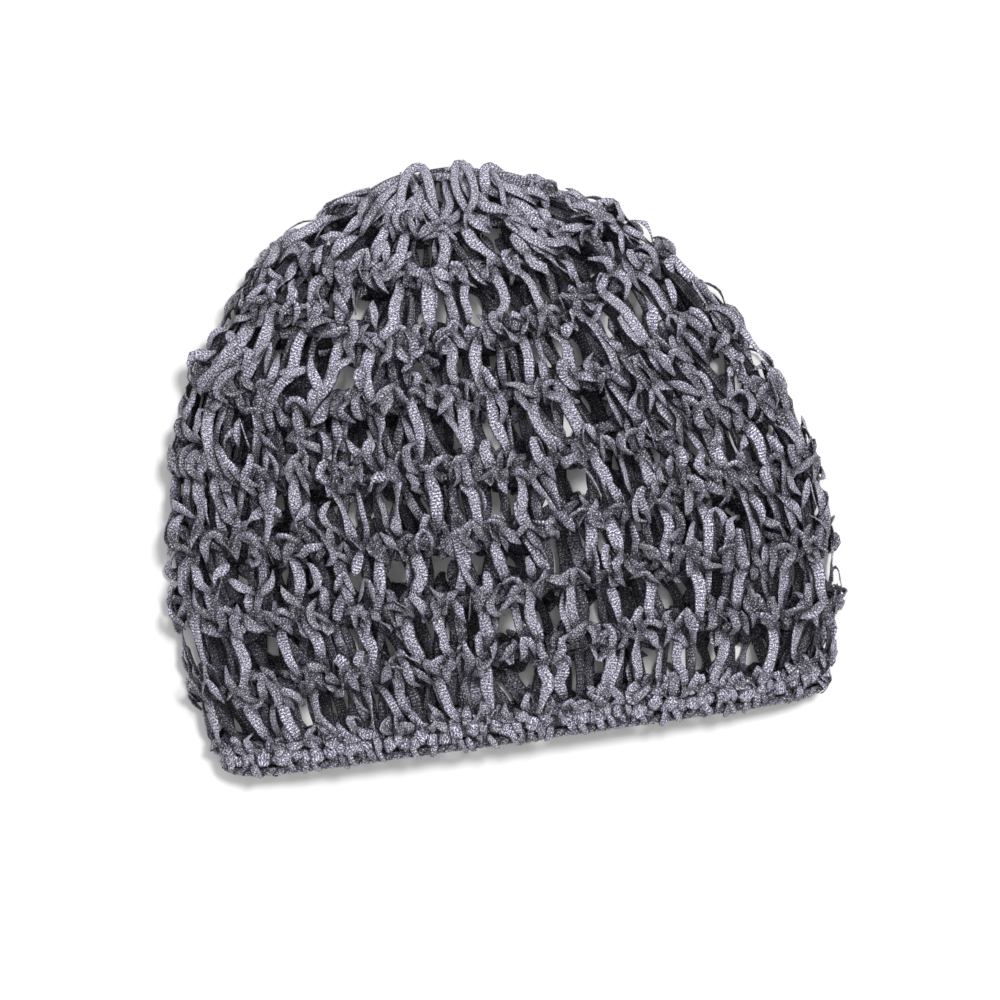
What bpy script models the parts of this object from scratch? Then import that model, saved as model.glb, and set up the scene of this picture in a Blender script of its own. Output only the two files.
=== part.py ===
"""A crocheted ribbon wig cap lying flat, as it rests by itself.

Metres, +Z up. The cap lies on the XY plane with its crown towards +Y and its mouth towards -Y,
and the origin is under the middle of its footprint. Its skin is a stack of rings, one for each
round of crochet, and RINGS says where the side folds and the middle of each ring lie.
"""

import math
from collections import namedtuple

import bpy
import numpy as np

# Overall sizes
CAP_LENGTH = 0.228        # mouth edge to crown tip, lying flat
NET_WALL = 0.0055         # the openwork at its thickest, along the posts and ridges
RIM_WALL_SHARE = 0.5      # how much of that wall is left at the rim of a window
HEM_WALL = 0.0055
EDGE_DIAMETER = 0.0044    # elastic wrapped in ribbon
SEAT_GAP = 0.0003         # left between two pieces that touch

# The openwork
ROUNDS = 9
FIRST_OPEN_ROUND = 2      # the posts of the first round stand too close to show windows
WINDOWS = 14              # in each round
RIDGE_LIFT = 0.0009       # how far a chain ridge stands proud of the posts
RIM_DROP = 0.0015         # how far the ribbon falls away at the rim of a window
POST_DROP = 0.0003        # how far a post sinks between its two ridges

# The columns of points down the openwork, over and over round the cap
WINDOW_MIDDLE, AFTER_WINDOW, POST_MIDDLE, BEFORE_WINDOW = range(4)
COLUMNS_PER_WINDOW = 4
COLUMNS = COLUMNS_PER_WINDOW * WINDOWS
BRICK_SHIFT = 2           # columns that each round is shifted against the one above

# The hem and the edge
HEM_TOP = 0.0117
HEM_BOTTOM = EDGE_DIAMETER + SEAT_GAP
HEM_STITCHES = 34
HEM_LIFT = 0.0006         # how far the middle of the band stands proud of its two borders
STITCH_LIFT = 0.0003      # how far each stitch stands proud of the cleft beside it
EDGE_POINTS = 72

# How a ring goes round the cap
SAG_POWER = 2.2           # how late a ring drops from the folds to its middle
CREST_POWER = 0.75        # below 1, the upper layer is fuller than half an ellipse
FOOT_SINE = 0.42          # how far round from the fold the lower layer meets the table
CORNER_LIFT = 0.004       # how far the mouth's edge rises at the folds, which rounds its corners
CORNER_POWER = 16         # how late, towards the fold, it rises
STEPS_PER_ROUND = 8       # rings tried in each round to find the widest
STEPS_PER_RING = 720      # places tried round a ring to measure along it

# A ring by its two side folds and its middle. The heights along Y count from the mouth's edge,
# crest_z is the top of the upper layer, and fold_z is how high the side folds lie.
Ring = namedtuple("Ring", "left_x left_y right_x right_y middle_y crest_z fold_z")
RINGS = [
    Ring(-0.0125, 0.2262, 0.0035, 0.2262, 0.2252, 0.0160, 0.0080),
    Ring(-0.0467, 0.2154, 0.0333, 0.2127, 0.2015, 0.0230, 0.0090),
    Ring(-0.0706, 0.2023, 0.0598, 0.1992, 0.1808, 0.0280, 0.0100),
    Ring(-0.0890, 0.1835, 0.0810, 0.1781, 0.1581, 0.0315, 0.0108),
    Ring(-0.1094, 0.1577, 0.1010, 0.1508, 0.1331, 0.0335, 0.0115),
    Ring(-0.1198, 0.1258, 0.1152, 0.1204, 0.1073, 0.0340, 0.0120),
    Ring(-0.1252, 0.0981, 0.1240, 0.0912, 0.0815, 0.0335, 0.0120),
    Ring(-0.1275, 0.0692, 0.1260, 0.0635, 0.0581, 0.0315, 0.0115),
    Ring(-0.1252, 0.0373, 0.1252, 0.0373, 0.0338, 0.0285, 0.0110),
    Ring(-0.1198, 0.0120, 0.1190, 0.0120, 0.0120, 0.0240, 0.0100),
]

# The rows of a round, from the ridge above it towards the ridge below. place is the share of the
# round that lies above the row, arch is how much further down the row lies at a window's middle,
# window is the share of a window and its post that the window takes, and lift is how far the row
# stands off the skin.
RoundRow = namedtuple("RoundRow", "place arch window lift")
ROUND_ROWS = [
    RoundRow(0.00, 0.00, 0.50, RIDGE_LIFT),
    RoundRow(0.20, -0.05, 0.42, 0.0),
    RoundRow(0.50, 0.00, 0.62, -POST_DROP),
    RoundRow(0.80, 0.05, 0.42, 0.0),
]
LAST_ROW = RoundRow(1.00, 0.00, 0.50, 0.0)
WINDOW_ROWS = (1, 2)      # the rows of a round that a window starts from, going down

RIBBON_GREY = (0.205, 0.197, 0.238, 1.0)
RIBBON_ROUGHNESS = 0.55
ELASTIC_GREY = (0.120, 0.115, 0.140, 1.0)
ELASTIC_ROUGHNESS = 0.65
DOWNHILL = np.array([0.0, -1.0, 0.0])     # from the crown towards the mouth
CURVE_STEP = 1e-4                         # for slopes taken by small differences


def ring_at(numbers):
    """The ring at each whole or broken number, on a Catmull-Rom curve through the rows of RINGS."""
    rows = np.array(RINGS)
    whole = np.clip(np.floor(numbers).astype(int), 0, len(rows) - 2)
    before, start, end, after = (
        rows[np.clip(whole + step, 0, len(rows) - 1)] for step in (-1, 0, 1, 2)
    )
    part = (numbers - whole)[:, None]
    values = (
        start * (2 * part**3 - 3 * part**2 + 1)
        + (end - before) / 2 * (part**3 - 2 * part**2 + part)
        + end * (3 * part**2 - 2 * part**3)
        + (after - start) / 2 * (part**3 - part**2)
    )
    return Ring(*values.T)


def resting(angles):
    """0 from fold to fold over the upper layer, rising to 1 where the lower layer lies flat."""
    return np.clip(-np.sin(angles) / FOOT_SINE, 0, 1)


def corner_rise(numbers, angles):
    """How far the last round and the band below it are pushed up at the folds."""
    return CORNER_LIFT * np.clip(numbers - ROUNDS + 1, 0, 1) * np.abs(np.cos(angles)) ** CORNER_POWER


def skin(numbers, angles):
    """Points of the outer skin. An angle is 0 at the right fold and a quarter turn on the crest."""
    ring = ring_at(numbers)
    across = np.cos(angles)
    x = (ring.right_x + ring.left_x) / 2 + (ring.right_x - ring.left_x) / 2 * across
    fold_y = (ring.right_y + ring.left_y) / 2 + (ring.right_y - ring.left_y) / 2 * across
    y = ring.middle_y + (fold_y - ring.middle_y) * np.abs(across) ** SAG_POWER
    y = y + corner_rise(numbers, angles)
    above = (ring.crest_z - ring.fold_z) * np.clip(np.sin(angles), 0, 1) ** CREST_POWER
    below = ring.fold_z * np.sqrt(1 - (1 - resting(angles)) ** 2)
    return np.stack([x - middle_x(), y - CAP_LENGTH / 2, ring.fold_z + above - below], axis=1)


def middle_x():
    """The X midway between the cap's widest places, which becomes the origin."""
    rings = ring_at(np.linspace(0, ROUNDS, STEPS_PER_ROUND * ROUNDS + 1))
    return (rings.left_x.min() + rings.right_x.max()) / 2


def lift_off(points, around, downhill, lifts, angles):
    """Moves points out along the skin's normal, and less where the lower layer lies flat."""
    outward = np.cross(around, downhill)
    outward /= np.linalg.norm(outward, axis=1, keepdims=True)
    return points + outward * (lifts * (1 - resting(angles)) ** 2)[:, None]


def angles_at(number, shares):
    """The angles at these shares of a ring's length, counted from the right fold over the top."""
    angles = np.linspace(0, 2 * math.pi, STEPS_PER_RING + 1)
    line = skin(np.full(len(angles), float(number)), angles)
    along = np.concatenate([[0], np.cumsum(np.linalg.norm(np.diff(line, axis=0), axis=1))])
    return np.interp(np.mod(shares, 1), along / along[-1], angles)


def net_ring(numbers, angles, lifts):
    """Points of the openwork's outer side."""
    points = skin(numbers, angles)
    around = skin(numbers, angles + CURVE_STEP) - points
    downhill = skin(numbers + CURVE_STEP, angles) - points
    return lift_off(points, around, downhill, lifts, angles)


def band_ring(height, shares, lifts):
    """Points at one height of the straight band below the last ridge."""
    numbers = np.full(len(shares), float(ROUNDS))
    angles = angles_at(ROUNDS, shares)
    points = skin(numbers, angles)
    around = skin(numbers, angles + CURVE_STEP) - points
    around[:, 1] = 0
    points = lift_off(points, around, DOWNHILL, lifts, angles)
    points[:, 1] = height - CAP_LENGTH / 2 + corner_rise(numbers, angles)
    return points


def net_rows():
    """Every row of the openwork from the crown to the hem, as (round, index in the round, row)."""
    rows = [
        (number, index, row)
        for number in range(1, ROUNDS + 1)
        for index, row in enumerate(ROUND_ROWS)
    ]
    return rows + [(ROUNDS, len(ROUND_ROWS), LAST_ROW)]


def column_places(number):
    """Where each column stands in its window and post. The rounds are laid like bricks."""
    return (np.arange(COLUMNS) + BRICK_SHIFT * number) % COLUMNS_PER_WINDOW


def material(name, colour, roughness):
    """A plain fabric finish."""
    made = bpy.data.materials.new(name)
    made.use_nodes = True
    shader = made.node_tree.nodes["Principled BSDF"]
    shader.inputs["Base Color"].default_value = colour
    shader.inputs["Roughness"].default_value = roughness
    shader.inputs["Metallic"].default_value = 0.0
    return made


def add_piece(name, data, collection, finish):
    """Puts mesh or curve data into the collection as one named piece."""
    piece = bpy.data.objects.new(name, data)
    data.materials.append(finish)
    collection.objects.link(piece)
    return piece


def sheet_faces(row_count, columns, is_open=lambda row, column: False):
    """The quads between closed rows of points, without those that is_open says are windows."""
    return [
        (
            row * columns + column,
            row * columns + (column + 1) % columns,
            (row + 1) * columns + (column + 1) % columns,
            (row + 1) * columns + column,
        )
        for row in range(row_count - 1)
        for column in range(columns)
        if not is_open(row, column)
    ]


def add_wall(piece, thickness):
    """Gives an open sheet its wall, inwards from the outer side."""
    wall = piece.modifiers.new("Wall", "SOLIDIFY")
    wall.thickness = thickness
    wall.offset = -1
    return wall


def build_net(collection, finish):
    """The openwork: a ridge round the cap for each round, and posts with windows between them."""
    rows = net_rows()
    points, fullness = [], []
    for number, index, row in rows:
        places = column_places(number)
        window_side = (places == AFTER_WINDOW).astype(int) - (places == BEFORE_WINDOW)
        shares = (np.arange(COLUMNS) + window_side * (2 * row.window - 1)) / COLUMNS
        ring_number = number - 1 + row.place
        is_rim = (index > 0) & (places != POST_MIDDLE) & (number >= FIRST_OPEN_ROUND)
        numbers = ring_number + row.arch * (places == WINDOW_MIDDLE)
        points.append(net_ring(numbers, angles_at(ring_number, shares), row.lift - RIM_DROP * is_rim))
        fullness.append(np.where(is_rim, 0.0, 1.0))

    def is_window(row, column):
        """Whether this face lies between two posts, between the rows nearest to the ridges."""
        number, index, _ = rows[row]
        in_reach = number >= FIRST_OPEN_ROUND and index in WINDOW_ROWS
        return in_reach and column_places(number)[column] in (BEFORE_WINDOW, WINDOW_MIDDLE)

    tip = len(rows) * COLUMNS
    first = points[0]
    points.append([[first[:, 0].mean(), CAP_LENGTH / 2, first[:, 2].mean()]])
    faces = sheet_faces(len(rows), COLUMNS, is_window)
    faces += [(tip, (column + 1) % COLUMNS, column) for column in range(COLUMNS)]
    mesh = bpy.data.meshes.new("net_body")
    mesh.from_pydata(np.concatenate(points).tolist(), [], faces)
    net = add_piece("net_body", mesh, collection, finish)
    group = net.vertex_groups.new(name="fullness")
    for vertex, weight in enumerate(np.concatenate(fullness)):
        group.add([vertex], float(weight), "REPLACE")
    wall = add_wall(net, NET_WALL)
    wall.vertex_group = group.name
    wall.thickness_vertex_group = RIM_WALL_SHARE
    mesh.shade_smooth()
    return net


def build_hem(collection, finish):
    """The band of single crochet: a low round stitch and a cleft, over and over."""
    columns = 2 * HEM_STITCHES
    shares = np.arange(columns) / columns
    stitch = np.where(np.arange(columns) % 2 == 0, STITCH_LIFT, -STITCH_LIFT)
    heights = (HEM_TOP, (HEM_TOP + HEM_BOTTOM) / 2, HEM_BOTTOM)
    lifts = (stitch - HEM_LIFT, stitch + HEM_LIFT, stitch - HEM_LIFT)
    points = [band_ring(height, shares, lift) for height, lift in zip(heights, lifts)]
    mesh = bpy.data.meshes.new("hem_band")
    mesh.from_pydata(np.concatenate(points).tolist(), [], sheet_faces(len(heights), columns))
    hem = add_piece("hem_band", mesh, collection, finish)
    add_wall(hem, HEM_WALL)
    mesh.shade_smooth()
    return hem


def build_edge(collection, finish):
    """The elastic that draws the mouth in, wrapped in ribbon: a tube round the mouth."""
    radius = EDGE_DIAMETER / 2
    shares = np.arange(EDGE_POINTS) / EDGE_POINTS
    points = band_ring(radius, shares, np.full(EDGE_POINTS, -radius - HEM_LIFT))
    points[:, 2] = np.maximum(points[:, 2], radius)
    curve = bpy.data.curves.new("elastic_edge", "CURVE")
    curve.dimensions = "3D"
    curve.bevel_depth = radius
    curve.bevel_resolution = 2
    spline = curve.splines.new("POLY")
    spline.points.add(EDGE_POINTS - 1)
    spline.points.foreach_set("co", np.c_[points, np.ones(EDGE_POINTS)].ravel())
    spline.use_cyclic_u = True
    return add_piece("elastic_edge", curve, collection, finish)


def main():
    for old in list(bpy.data.objects):
        bpy.data.objects.remove(old)
    collection = bpy.data.collections.new("wig_cap")
    bpy.context.scene.collection.children.link(collection)
    ribbon = material("ribbon", RIBBON_GREY, RIBBON_ROUGHNESS)
    build_net(collection, ribbon)
    build_hem(collection, ribbon)
    build_edge(collection, material("wrapped_elastic", ELASTIC_GREY, ELASTIC_ROUGHNESS))


if __name__ == "__main__":
    main()
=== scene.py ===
"""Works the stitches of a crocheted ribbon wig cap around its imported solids, lying as it rests.

Metres, +Z up, crown towards +Y and mouth towards -Y. Every stitch is a handful of short ribbon
strands. A strand's knots are given on the cap's own surface, as a place across the stitch, a place
down the round and a height off the wall, and a flat ribbon section is carried along the smooth line
through them.
"""

import math
from collections import namedtuple
from functools import partial

import bpy
import numpy as np
from bpy.props import FloatProperty, FloatVectorProperty, IntProperty, PointerProperty
from bpy.types import Operator, Panel, PropertyGroup
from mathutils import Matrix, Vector


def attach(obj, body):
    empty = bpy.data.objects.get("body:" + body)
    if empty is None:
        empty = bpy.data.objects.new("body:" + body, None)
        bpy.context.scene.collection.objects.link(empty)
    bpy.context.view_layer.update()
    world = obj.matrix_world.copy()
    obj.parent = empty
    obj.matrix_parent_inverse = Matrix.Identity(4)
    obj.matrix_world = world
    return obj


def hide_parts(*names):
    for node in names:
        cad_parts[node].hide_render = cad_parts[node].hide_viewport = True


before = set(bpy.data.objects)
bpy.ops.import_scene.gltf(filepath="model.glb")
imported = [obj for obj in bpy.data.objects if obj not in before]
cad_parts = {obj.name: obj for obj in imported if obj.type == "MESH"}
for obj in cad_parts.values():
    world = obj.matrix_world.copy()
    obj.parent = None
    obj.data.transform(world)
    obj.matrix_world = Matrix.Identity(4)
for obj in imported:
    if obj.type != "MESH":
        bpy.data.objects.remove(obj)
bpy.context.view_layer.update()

bl_info = {
    "name": "Crocheted Wig Cap",
    "version": (1, 0, 0),
    "blender": (4, 5, 0),
    "location": "View3D > Sidebar > Wig Cap",
    "description": "Works the ribbon stitches of a lying wig cap",
    "category": "Add Mesh",
}

MM = 0.001

# The cap's skin, as the solids have it
CAP_LENGTH = 0.228
WALL = 0.0055
ROUNDS = 9
SAG_POWER = 2.2           # how late a ring drops from the folds to its middle
CREST_POWER = 0.75        # below 1, the upper layer is fuller than half an ellipse
FOOT_SINE = 0.42          # how far round from the fold the lower layer meets the table
BAND_HEIGHT = 0.012       # hem band and edge together
CORNER_LIFT = 0.004       # how far the mouth's edge rises at the folds, which rounds its corners
CORNER_POWER = 16         # how late, towards the fold, it rises

Ring = namedtuple("Ring", "left_x left_y right_x right_y middle_y crest_z fold_z")
RINGS = [
    Ring(-0.0125, 0.2262, 0.0035, 0.2262, 0.2252, 0.0160, 0.0080),
    Ring(-0.0467, 0.2154, 0.0333, 0.2127, 0.2015, 0.0230, 0.0090),
    Ring(-0.0706, 0.2023, 0.0598, 0.1992, 0.1808, 0.0280, 0.0100),
    Ring(-0.0890, 0.1835, 0.0810, 0.1781, 0.1581, 0.0315, 0.0108),
    Ring(-0.1094, 0.1577, 0.1010, 0.1508, 0.1331, 0.0335, 0.0115),
    Ring(-0.1198, 0.1258, 0.1152, 0.1204, 0.1073, 0.0340, 0.0120),
    Ring(-0.1252, 0.0981, 0.1240, 0.0912, 0.0815, 0.0335, 0.0120),
    Ring(-0.1275, 0.0692, 0.1260, 0.0635, 0.0581, 0.0315, 0.0115),
    Ring(-0.1252, 0.0373, 0.1252, 0.0373, 0.0338, 0.0285, 0.0110),
    Ring(-0.1198, 0.0120, 0.1190, 0.0120, 0.0120, 0.0240, 0.0100),
]

# How each round is worked: its stitches all the way round, how far the first one is from the left
# fold in stitches, and how its posts lean at the left and right of the upper layer, in stitches.
# A positive lean has the post's top to the right of its foot.
Round = namedtuple("Round", "stitches start lean_left lean_right")
WORKED_ROUNDS = [
    Round(12, 0.2, 0.00, 0.00),
    Round(18, 0.5, 0.10, -0.10),
    Round(24, 0.1, 0.15, -0.10),
    Round(28, 0.6, 0.10, -0.15),
    Round(31, 0.3, 0.05, -0.10),
    Round(33, 0.8, 0.02, 0.00),
    Round(34, 0.4, -0.05, 0.08),
    Round(34, 0.9, -0.10, 0.14),
    Round(34, 0.5, -0.16, 0.18),
]
HEM_STITCHES = 72

# A knot that a strand passes: across is in stitches from the stitch's middle, down is in rounds from
# the ridge above, out is the height off the wall's middle in mm, width is in mm. roll turns the
# ribbon about its own line, in radians: 0 has it lie flat on the wall. curl bends its edges away
# from the viewer, in radians to each side. Below, a row of a form is a knot with these six values.
Knot = namedtuple("Knot", "across down out width roll curl")

# How far each knot strays by chance, and how far a whole strand does, as standard deviations
KNOT_PLAY = Knot(0.040, 0.022, 0.40, 0.35, 0.18, 0.10)
STRAND_PLAY = Knot(0.090, 0.075, 0.60, 0.40, 0.30, 0.08)
HOME_PLAY = 0.07          # a whole stitch's, in stitches
HEM_PLAY = 0.08           # the same, in the hem
LEAN_PLAY = 0.10          # its post's lean, in stitches
DROP_PLAY = 0.07          # its foot's, down the cap, in rounds
RIDGE_DRIFT = 0.10        # how far a ridge strays in each of its slow waves, in rounds, over the
RIDGE_WAVES = range(2, 9)     # number of that wave's turns round the ring

# A family is a strand that a stitch has, in one of several forms, each with as many knots. samples
# are read along it, and turned is the share of stitches that have it left side right.
Family = namedtuple("Family", "samples turned forms")

POST = Family(12, 0.5, [
    [  # straight, its foot slipping sideways under the next ridge
        (0.00, -0.10, -1.6, 1.8, 0.0, 0.4),
        (0.00, 0.05, 1.1, 4.2, 0.0, 0.3),
        (0.00, 0.24, 2.6, 5.0, 0.0, 0.12),
        (0.01, 0.44, 2.9, 5.2, 0.0, 0.1),
        (0.03, 0.64, 2.9, 4.8, 0.1, 0.15),
        (0.09, 0.82, 3.0, 4.0, 0.2, 0.25),
        (0.18, 0.99, -0.8, 1.8, 0.2, 0.4),
    ],
    [  # bowed, its foot laid over the next ridge
        (0.06, -0.12, -1.6, 1.8, 0.0, 0.4),
        (0.00, 0.06, 1.2, 4.2, 0.1, 0.3),
        (-0.07, 0.26, 2.8, 5.0, 0.2, 0.12),
        (-0.07, 0.48, 3.4, 4.8, 0.1, 0.12),
        (0.00, 0.72, 4.0, 4.2, -0.1, 0.2),
        (0.14, 0.94, 4.2, 3.6, -0.3, 0.3),
        (0.28, 1.10, -0.6, 1.8, -0.3, 0.4),
    ],
    [  # an S with a half twist
        (-0.05, -0.10, -1.6, 1.8, 0.0, 0.4),
        (0.03, 0.06, 1.2, 4.2, 0.0, 0.3),
        (0.09, 0.26, 2.7, 4.6, 0.5, 0.2),
        (0.05, 0.48, 3.0, 4.0, 1.1, 0.2),
        (-0.04, 0.68, 3.0, 4.2, 0.6, 0.2),
        (-0.07, 0.86, 3.0, 3.8, 0.0, 0.3),
        (0.01, 1.02, -0.8, 1.8, 0.0, 0.4),
    ],
    [  # its top laid over the ridge above
        (-0.14, -0.22, -0.8, 1.8, 0.0, 0.4),
        (-0.08, -0.08, 4.0, 3.8, 0.1, 0.3),
        (-0.01, 0.10, 4.8, 4.8, 0.1, 0.15),
        (0.03, 0.32, 3.4, 5.2, 0.0, 0.1),
        (0.01, 0.56, 2.6, 4.8, 0.0, 0.12),
        (-0.03, 0.78, 1.8, 4.0, 0.1, 0.25),
        (-0.06, 0.96, -1.2, 1.8, 0.2, 0.4),
    ],
])
LEG = Family(10, 0.5, [
    [  # one arm of a V that closes at the post's foot
        (0.24, -0.06, -1.4, 1.4, 0.3, 0.4),
        (0.25, 0.12, 0.6, 2.5, 0.4, 0.3),
        (0.23, 0.36, 1.4, 3.0, 0.4, 0.25),
        (0.18, 0.60, 1.6, 2.8, 0.3, 0.25),
        (0.10, 0.82, 1.4, 2.4, 0.3, 0.3),
        (0.05, 1.00, -1.0, 1.4, 0.0, 0.4),
    ],
    [  # crossing behind the post
        (-0.26, -0.04, -1.6, 1.4, 0.0, 0.4),
        (-0.18, 0.16, -0.4, 2.6, 0.2, 0.3),
        (-0.02, 0.42, -0.4, 3.0, 0.3, 0.25),
        (0.13, 0.64, 0.4, 2.8, 0.3, 0.25),
        (0.22, 0.84, 1.0, 2.4, 0.2, 0.3),
        (0.26, 1.00, -1.0, 1.4, 0.0, 0.4),
    ],
    [  # hugging the post half on edge
        (-0.16, -0.08, -1.2, 1.4, -0.4, 0.4),
        (-0.18, 0.12, 0.8, 2.6, -0.5, 0.3),
        (-0.19, 0.36, 1.4, 3.0, -0.6, 0.25),
        (-0.16, 0.60, 1.6, 2.7, -0.5, 0.25),
        (-0.10, 0.84, 1.6, 2.4, -0.4, 0.3),
        (-0.04, 1.00, -0.8, 1.4, 0.0, 0.4),
    ],
    [  # from the ridge across the post, as the arm of a Y
        (0.38, -0.06, -0.8, 1.4, 0.0, 0.4),
        (0.31, 0.12, 1.6, 2.8, 0.2, 0.3),
        (0.21, 0.32, 2.8, 3.2, 0.2, 0.25),
        (0.10, 0.52, 3.8, 3.0, 0.1, 0.25),
        (0.02, 0.72, 3.2, 2.6, 0.1, 0.3),
        (-0.02, 0.92, -0.8, 1.4, 0.0, 0.4),
    ],
    [  # a slack strand bowed into the window
        (0.14, -0.06, -1.2, 1.4, 0.0, 0.4),
        (0.29, 0.14, 0.4, 2.4, 0.4, 0.3),
        (0.38, 0.38, 0.8, 2.8, 0.5, 0.25),
        (0.37, 0.62, 0.8, 2.8, 0.4, 0.25),
        (0.27, 0.84, 1.2, 2.4, 0.2, 0.3),
        (0.15, 1.00, -1.0, 1.4, 0.0, 0.4),
    ],
])
LOOP = Family(13, 0.25, [
    [  # a teardrop on the foot of the post
        (-0.04, 1.05, -1.6, 1.8, 0.0, 0.55),
        (-0.06, 0.84, -0.4, 2.6, 0.0, 0.55),
        (-0.12, 0.64, 0.6, 2.4, 0.0, 0.65),
        (-0.18, 0.60, 2.2, 2.8, 0.0, 0.55),
        (-0.24, 0.74, 3.3, 4.0, 0.0, 0.35),
        (-0.22, 0.92, 3.2, 4.2, 0.0, 0.35),
        (-0.13, 1.06, 1.4, 3.2, 0.0, 0.45),
        (-0.06, 1.16, -1.4, 1.8, 0.0, 0.65),
    ],
    [  # a low round loop
        (0.00, 1.12, -1.2, 1.8, 0.0, 0.55),
        (-0.06, 0.94, 0.0, 2.6, 0.0, 0.55),
        (-0.14, 0.80, 1.2, 2.8, 0.0, 0.55),
        (-0.25, 0.77, 2.8, 3.4, 0.0, 0.45),
        (-0.34, 0.88, 3.6, 3.8, 0.0, 0.35),
        (-0.31, 1.01, 3.2, 3.8, 0.0, 0.35),
        (-0.20, 1.11, 1.4, 3.0, 0.0, 0.45),
        (-0.10, 1.18, -1.2, 1.6, 0.0, 0.65),
    ],
])
ARCH = Family(9, 0.5, [
    [  # over the top of the post
        (-0.30, 0.15, -0.8, 1.6, 0.4, 0.5),
        (-0.23, -0.01, 2.4, 2.8, 0.6, 0.4),
        (-0.02, -0.09, 4.3, 3.2, 0.6, 0.4),
        (0.20, -0.03, 2.8, 2.8, 0.5, 0.4),
        (0.30, 0.10, -0.8, 1.6, 0.4, 0.5),
    ],
    [  # askew over the post's shoulder
        (-0.36, 0.04, -0.8, 1.6, 0.2, 0.5),
        (-0.22, -0.06, 2.4, 3.2, 0.3, 0.4),
        (0.00, -0.06, 4.2, 3.8, 0.2, 0.4),
        (0.20, 0.05, 3.0, 3.2, 0.2, 0.4),
        (0.32, 0.18, -0.6, 1.6, 0.2, 0.5),
    ],
])
RUN = Family(9, 0.45, [
    [  # along the ridge
        (-0.50, 0.99, -1.0, 1.6, 0.0, 0.6),
        (-0.27, 0.94, 1.8, 3.2, 0.2, 0.45),
        (0.00, 0.93, 2.6, 3.8, 0.3, 0.35),
        (0.27, 0.98, 2.0, 3.2, 0.2, 0.45),
        (0.48, 1.06, -1.0, 1.6, 0.0, 0.6),
    ],
    [  # across it
        (-0.44, 0.82, -1.0, 1.6, 0.0, 0.6),
        (-0.25, 0.88, 2.0, 3.4, 0.1, 0.45),
        (0.00, 0.98, 2.8, 4.0, 0.2, 0.35),
        (0.24, 1.09, 2.2, 3.4, 0.1, 0.45),
        (0.42, 1.17, -1.0, 1.6, 0.0, 0.6),
    ],
    [  # turning over once
        (-0.44, 1.10, -1.0, 1.6, 0.0, 0.6),
        (-0.23, 1.05, 2.2, 3.8, 0.3, 0.4),
        (0.00, 0.98, 3.0, 3.6, 1.5, 0.3),
        (0.23, 0.91, 2.2, 3.8, 2.7, 0.4),
        (0.42, 0.85, -1.0, 1.6, 3.1, 0.6),
    ],
])
LINK = Family(9, 0.5, [
    [  # slanting
        (-0.24, 0.77, 0.4, 0.6, 0.0, 0.2),
        (-0.13, 0.87, 2.6, 3.0, 0.0, 0.2),
        (0.00, 0.98, 3.2, 4.2, 0.1, 0.15),
        (0.12, 1.09, 2.6, 3.2, 0.1, 0.2),
        (0.22, 1.19, 0.4, 0.6, 0.0, 0.2),
    ],
    [  # nearly upright
        (-0.10, 0.73, 0.2, 0.6, 0.0, 0.2),
        (-0.07, 0.85, 2.6, 3.4, 0.0, 0.2),
        (0.00, 0.98, 3.4, 4.4, 0.1, 0.15),
        (0.06, 1.11, 2.6, 3.2, 0.1, 0.2),
        (0.09, 1.23, 0.2, 0.6, 0.0, 0.2),
    ],
    [  # a C
        (0.15, 0.75, 0.2, 0.6, 0.0, 0.2),
        (-0.02, 0.82, 2.6, 2.8, 0.0, 0.2),
        (-0.11, 0.96, 3.6, 3.8, 0.1, 0.15),
        (-0.05, 1.11, 2.8, 3.0, 0.1, 0.2),
        (0.13, 1.19, 0.2, 0.6, 0.0, 0.2),
    ],
    [  # lying along the ridge
        (-0.40, 0.88, 0.2, 0.6, 0.0, 0.2),
        (-0.20, 0.92, 2.4, 2.9, 0.0, 0.2),
        (0.00, 0.98, 3.0, 3.9, 0.1, 0.15),
        (0.20, 1.04, 2.4, 3.0, 0.1, 0.2),
        (0.38, 1.08, 0.2, 0.6, 0.0, 0.2),
    ],
    [  # slanting, with a half twist
        (-0.26, 0.78, 0.4, 0.8, 0.0, 0.2),
        (-0.15, 0.88, 2.6, 3.7, 0.2, 0.2),
        (0.00, 0.98, 3.2, 3.4, 1.4, 0.15),
        (0.14, 1.08, 2.6, 3.9, 2.6, 0.2),
        (0.25, 1.18, 0.4, 0.8, 3.1, 0.2),
    ],
    [  # a pointed fold
        (-0.22, 1.16, 0.2, 0.6, 0.0, 0.2),
        (-0.14, 0.98, 2.8, 3.4, 0.1, 0.2),
        (-0.02, 0.78, 3.4, 2.6, 0.3, 0.2),
        (0.11, 0.94, 3.0, 3.6, 0.3, 0.2),
        (0.16, 1.14, 0.2, 0.6, 0.2, 0.2),
    ],
])
TONGUE = Family(8, 0.5, [
    [  # pointing up into the window
        (0.42, 1.07, -0.6, 1.8, 0.0, 0.6),
        (0.47, 0.93, 2.6, 3.6, 0.1, 0.4),
        (0.54, 0.78, 3.0, 2.2, 0.2, 0.4),
        (0.63, 0.87, 1.8, 3.0, 0.8, 0.4),
        (0.62, 1.02, -0.6, 1.8, 0.8, 0.6),
    ],
    [  # hanging down into the window
        (0.38, 0.95, -0.6, 1.8, 0.0, 0.6),
        (0.44, 1.07, 2.6, 3.4, -0.1, 0.4),
        (0.52, 1.23, 2.8, 2.2, -0.2, 0.4),
        (0.61, 1.13, 1.6, 3.0, -0.8, 0.4),
        (0.60, 1.00, -0.6, 1.8, -0.8, 0.6),
    ],
    [  # a short bar from window to window
        (0.18, 0.92, -0.8, 1.6, 0.0, 0.7),
        (0.32, 0.96, 2.8, 3.4, 0.1, 0.5),
        (0.50, 1.02, 3.8, 3.9, 0.1, 0.4),
        (0.66, 1.07, 2.6, 3.2, 0.0, 0.5),
        (0.78, 1.12, -0.8, 1.6, 0.0, 0.7),
    ],
])
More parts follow.
